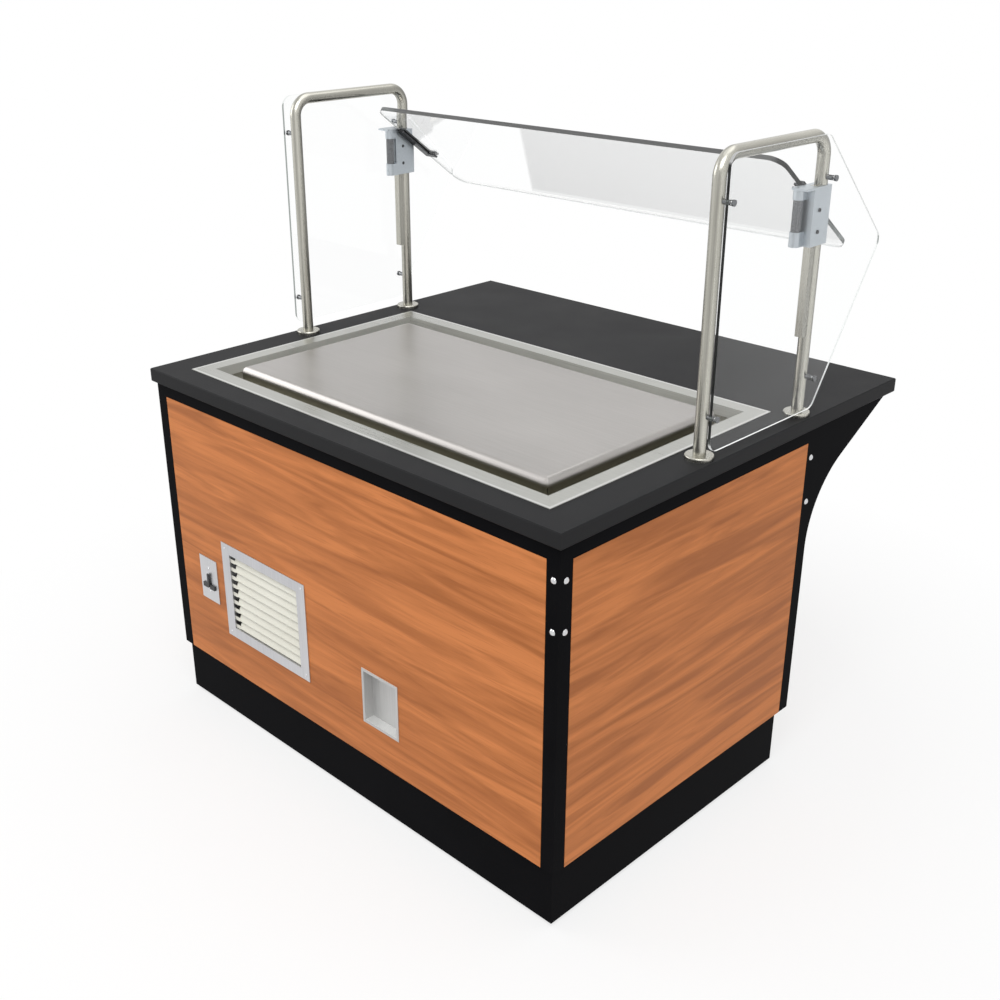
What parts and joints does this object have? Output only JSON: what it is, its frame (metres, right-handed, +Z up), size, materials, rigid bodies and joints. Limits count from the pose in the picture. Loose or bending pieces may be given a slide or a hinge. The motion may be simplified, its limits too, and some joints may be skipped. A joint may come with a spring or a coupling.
{
  "type": "mobile salad bar",
  "caption": "Wheeled cold counter with a frost slab and drip gutter, wood-look panels, a louvered cooling unit, a customer shelf and a glass breath guard that slides and tilts.",
  "frame": {"origin": "on the floor, under the middle of the whole object", "axes": "+X to the right as the operator sees the counter, +Y towards the customer's shelf, +Z up"},
  "size_m": [1.27, 1.13, 1.4467],
  "materials": {
    "charcoal": "satin solid surface",
    "black_steel": "satin black powder coat",
    "wood": "horizontal grain laminate, satin",
    "bright_screw": "bright",
    "galvanised": "galvanised sheet",
    "plate_steel": "brushed",
    "louver_cream": "cream white paint",
    "dark_plastic": "matte",
    "rim_steel": "brushed",
    "slab_steel": "brushed along the length",
    "foam": "cut foam",
    "copper": "drawn copper tube",
    "pipe_brass": "drawn brass",
    "red_plastic": "gloss",
    "fins": "finned block",
    "motor_grey": "satin paint",
    "fan_grey": "matte",
    "compressor_black": "gloss black paint",
    "zinc": "zinc plated",
    "wheel_rubber": "solid rubber",
    "tube_steel": "brushed",
    "glass": "clear tempered, polished edges",
    "clamp_metal": "satin",
    "dark_metal": "dark satin",
    "grip_steel": "dark satin steel"
  },
  "bodies": {
    "cabinet": {"countertop": "charcoal", "top_frame": "black_steel", "corner_post_front_left": "black_steel", "corner_post_front_right": "black_steel", "corner_post_rear_left": "black_steel", "corner_post_rear_right": "black_steel", "corner_bolts": "bright_screw", "operator_panel": "wood", "end_panel_left": "wood", "end_panel_right": "wood", "customer_panel": "wood", "base_frame": "black_steel", "base_deck": "galvanised", "toe_kick": "black_steel", "shelf_bracket_left": "black_steel", "shelf_bracket_right": "black_steel", "vent_frame": "plate_steel", "vent_louvers": "louver_cream", "switch_plate": "plate_steel", "switch_body": "dark_plastic", "recess_pocket": "plate_steel", "well_rim": "rim_steel", "cold_slab": "slab_steel", "well_shell": "rim_steel", "well_insulation": "foam", "evaporator_coil": "copper", "drain_pipe": "pipe_brass", "condenser": "fins", "fan_shroud": "dark_plastic", "fan_motor": "motor_grey", "compressor": "compressor_black", "refrigerant_lines": "copper", "cord_gland": "dark_plastic", "caster_plates": "zinc", "guard_frame_left": "tube_steel", "guard_frame_right": "tube_steel", "post_flanges": "tube_steel", "end_glass_left": "glass", "end_glass_right": "glass", "glass_standoffs": "grip_steel", "adjuster_rails": "tube_steel"},
    "caster_front_left": {"caster_fork_front_left": "zinc"},
    "caster_front_right": {"caster_fork_front_right": "zinc"},
    "caster_rear_left": {"caster_fork_rear_left": "zinc"},
    "caster_rear_right": {"caster_fork_rear_right": "zinc"},
    "wheel_front_left": {"caster_wheel_front_left": "wheel_rubber"},
    "wheel_front_right": {"caster_wheel_front_right": "wheel_rubber"},
    "wheel_rear_left": {"caster_wheel_rear_left": "wheel_rubber"},
    "wheel_rear_right": {"caster_wheel_rear_right": "wheel_rubber"},
    "pedal_left": {"brake_pedal_left": "red_plastic"},
    "pedal_right": {"brake_pedal_right": "red_plastic"},
    "toggle": {"toggle_lever": "dark_plastic"},
    "valve_lever": {"valve_handle": "red_plastic"},
    "fan": {"fan_blade": "fan_grey"},
    "carriage": {"post_clamps": "clamp_metal", "clamp_screws": "dark_metal"},
    "tilting_glass": {"glass_arms": "dark_metal", "front_glass": "glass"},
    "grip_left": {"clamp_knob_left": "grip_steel"},
    "grip_right": {"clamp_knob_right": "grip_steel"}
  },
  "joints": [
    {"name": "caster_swivel_front_left", "type": "hinge", "parent": "cabinet", "child": "caster_front_left", "pos_m": [-0.506, -0.434, 0.11], "axis": [0, 0, 1], "continuous": true},
    {"name": "wheel_spin_front_left", "type": "hinge", "parent": "caster_front_left", "child": "wheel_front_left", "pos_m": [-0.506, -0.466, 0.05], "axis": [1, 0, 0], "continuous": true},
    {"name": "caster_swivel_rear_left", "type": "hinge", "parent": "cabinet", "child": "caster_rear_left", "pos_m": [-0.506, 0.111, 0.11], "axis": [0, 0, 1], "continuous": true},
    {"name": "wheel_spin_rear_left", "type": "hinge", "parent": "caster_rear_left", "child": "wheel_rear_left", "pos_m": [-0.506, 0.079, 0.05], "axis": [1, 0, 0], "continuous": true},
    {"name": "caster_swivel_front_right", "type": "hinge", "parent": "cabinet", "child": "caster_front_right", "pos_m": [0.506, -0.434, 0.11], "axis": [0, 0, 1], "continuous": true},
    {"name": "wheel_spin_front_right", "type": "hinge", "parent": "caster_front_right", "child": "wheel_front_right", "pos_m": [0.506, -0.466, 0.05], "axis": [1, 0, 0], "continuous": true},
    {"name": "caster_swivel_rear_right", "type": "hinge", "parent": "cabinet", "child": "caster_rear_right", "pos_m": [0.506, 0.111, 0.11], "axis": [0, 0, 1], "continuous": true},
    {"name": "wheel_spin_rear_right", "type": "hinge", "parent": "caster_rear_right", "child": "wheel_rear_right", "pos_m": [0.506, 0.079, 0.05], "axis": [1, 0, 0], "continuous": true},
    {"name": "brake_pedal_left_press", "type": "hinge", "parent": "caster_front_left", "child": "pedal_left", "pos_m": [-0.506, -0.504, 0.094], "axis": [1, 0, 0], "range_deg": [0, 12]},
    {"name": "brake_pedal_right_press", "type": "hinge", "parent": "caster_front_right", "child": "pedal_right", "pos_m": [0.506, -0.504, 0.094], "axis": [1, 0, 0], "range_deg": [0, 12]},
    {"name": "power_toggle", "type": "hinge", "parent": "cabinet", "child": "toggle", "pos_m": [-0.484, -0.559, 0.352], "axis": [1, 0, 0], "range_deg": [0, 50]},
    {"name": "drain_valve_turn", "type": "hinge", "parent": "cabinet", "child": "valve_lever", "pos_m": [0.367, -0.41, 0.088], "axis": [0, 1, 0], "range_deg": [-90, 0]},
    {"name": "condenser_fan_spin", "type": "hinge", "parent": "cabinet", "child": "fan", "pos_m": [-0.263, -0.422, 0.311], "axis": [0, 1, 0], "continuous": true},
    {"name": "front_glass_height", "type": "slide", "parent": "cabinet", "child": "carriage", "axis": [0, 0, 1], "range_m": [-0.185, 0]},
    {"name": "front_glass_tilt", "type": "hinge", "parent": "carriage", "child": "tilting_glass", "pos_m": [0, 0.197, 1.325], "axis": [1, 0, 0], "range_deg": [-40, 36]},
    {"name": "clamp_grip_left_turn", "type": "hinge", "parent": "carriage", "child": "grip_left", "pos_m": [-0.587, 0.153, 1.28], "axis": [0, 0, 1], "range_deg": [0, 270]},
    {"name": "clamp_grip_right_turn", "type": "hinge", "parent": "carriage", "child": "grip_right", "pos_m": [0.587, 0.153, 1.28], "axis": [0, 0, 1], "range_deg": [0, 270]}
  ]
}
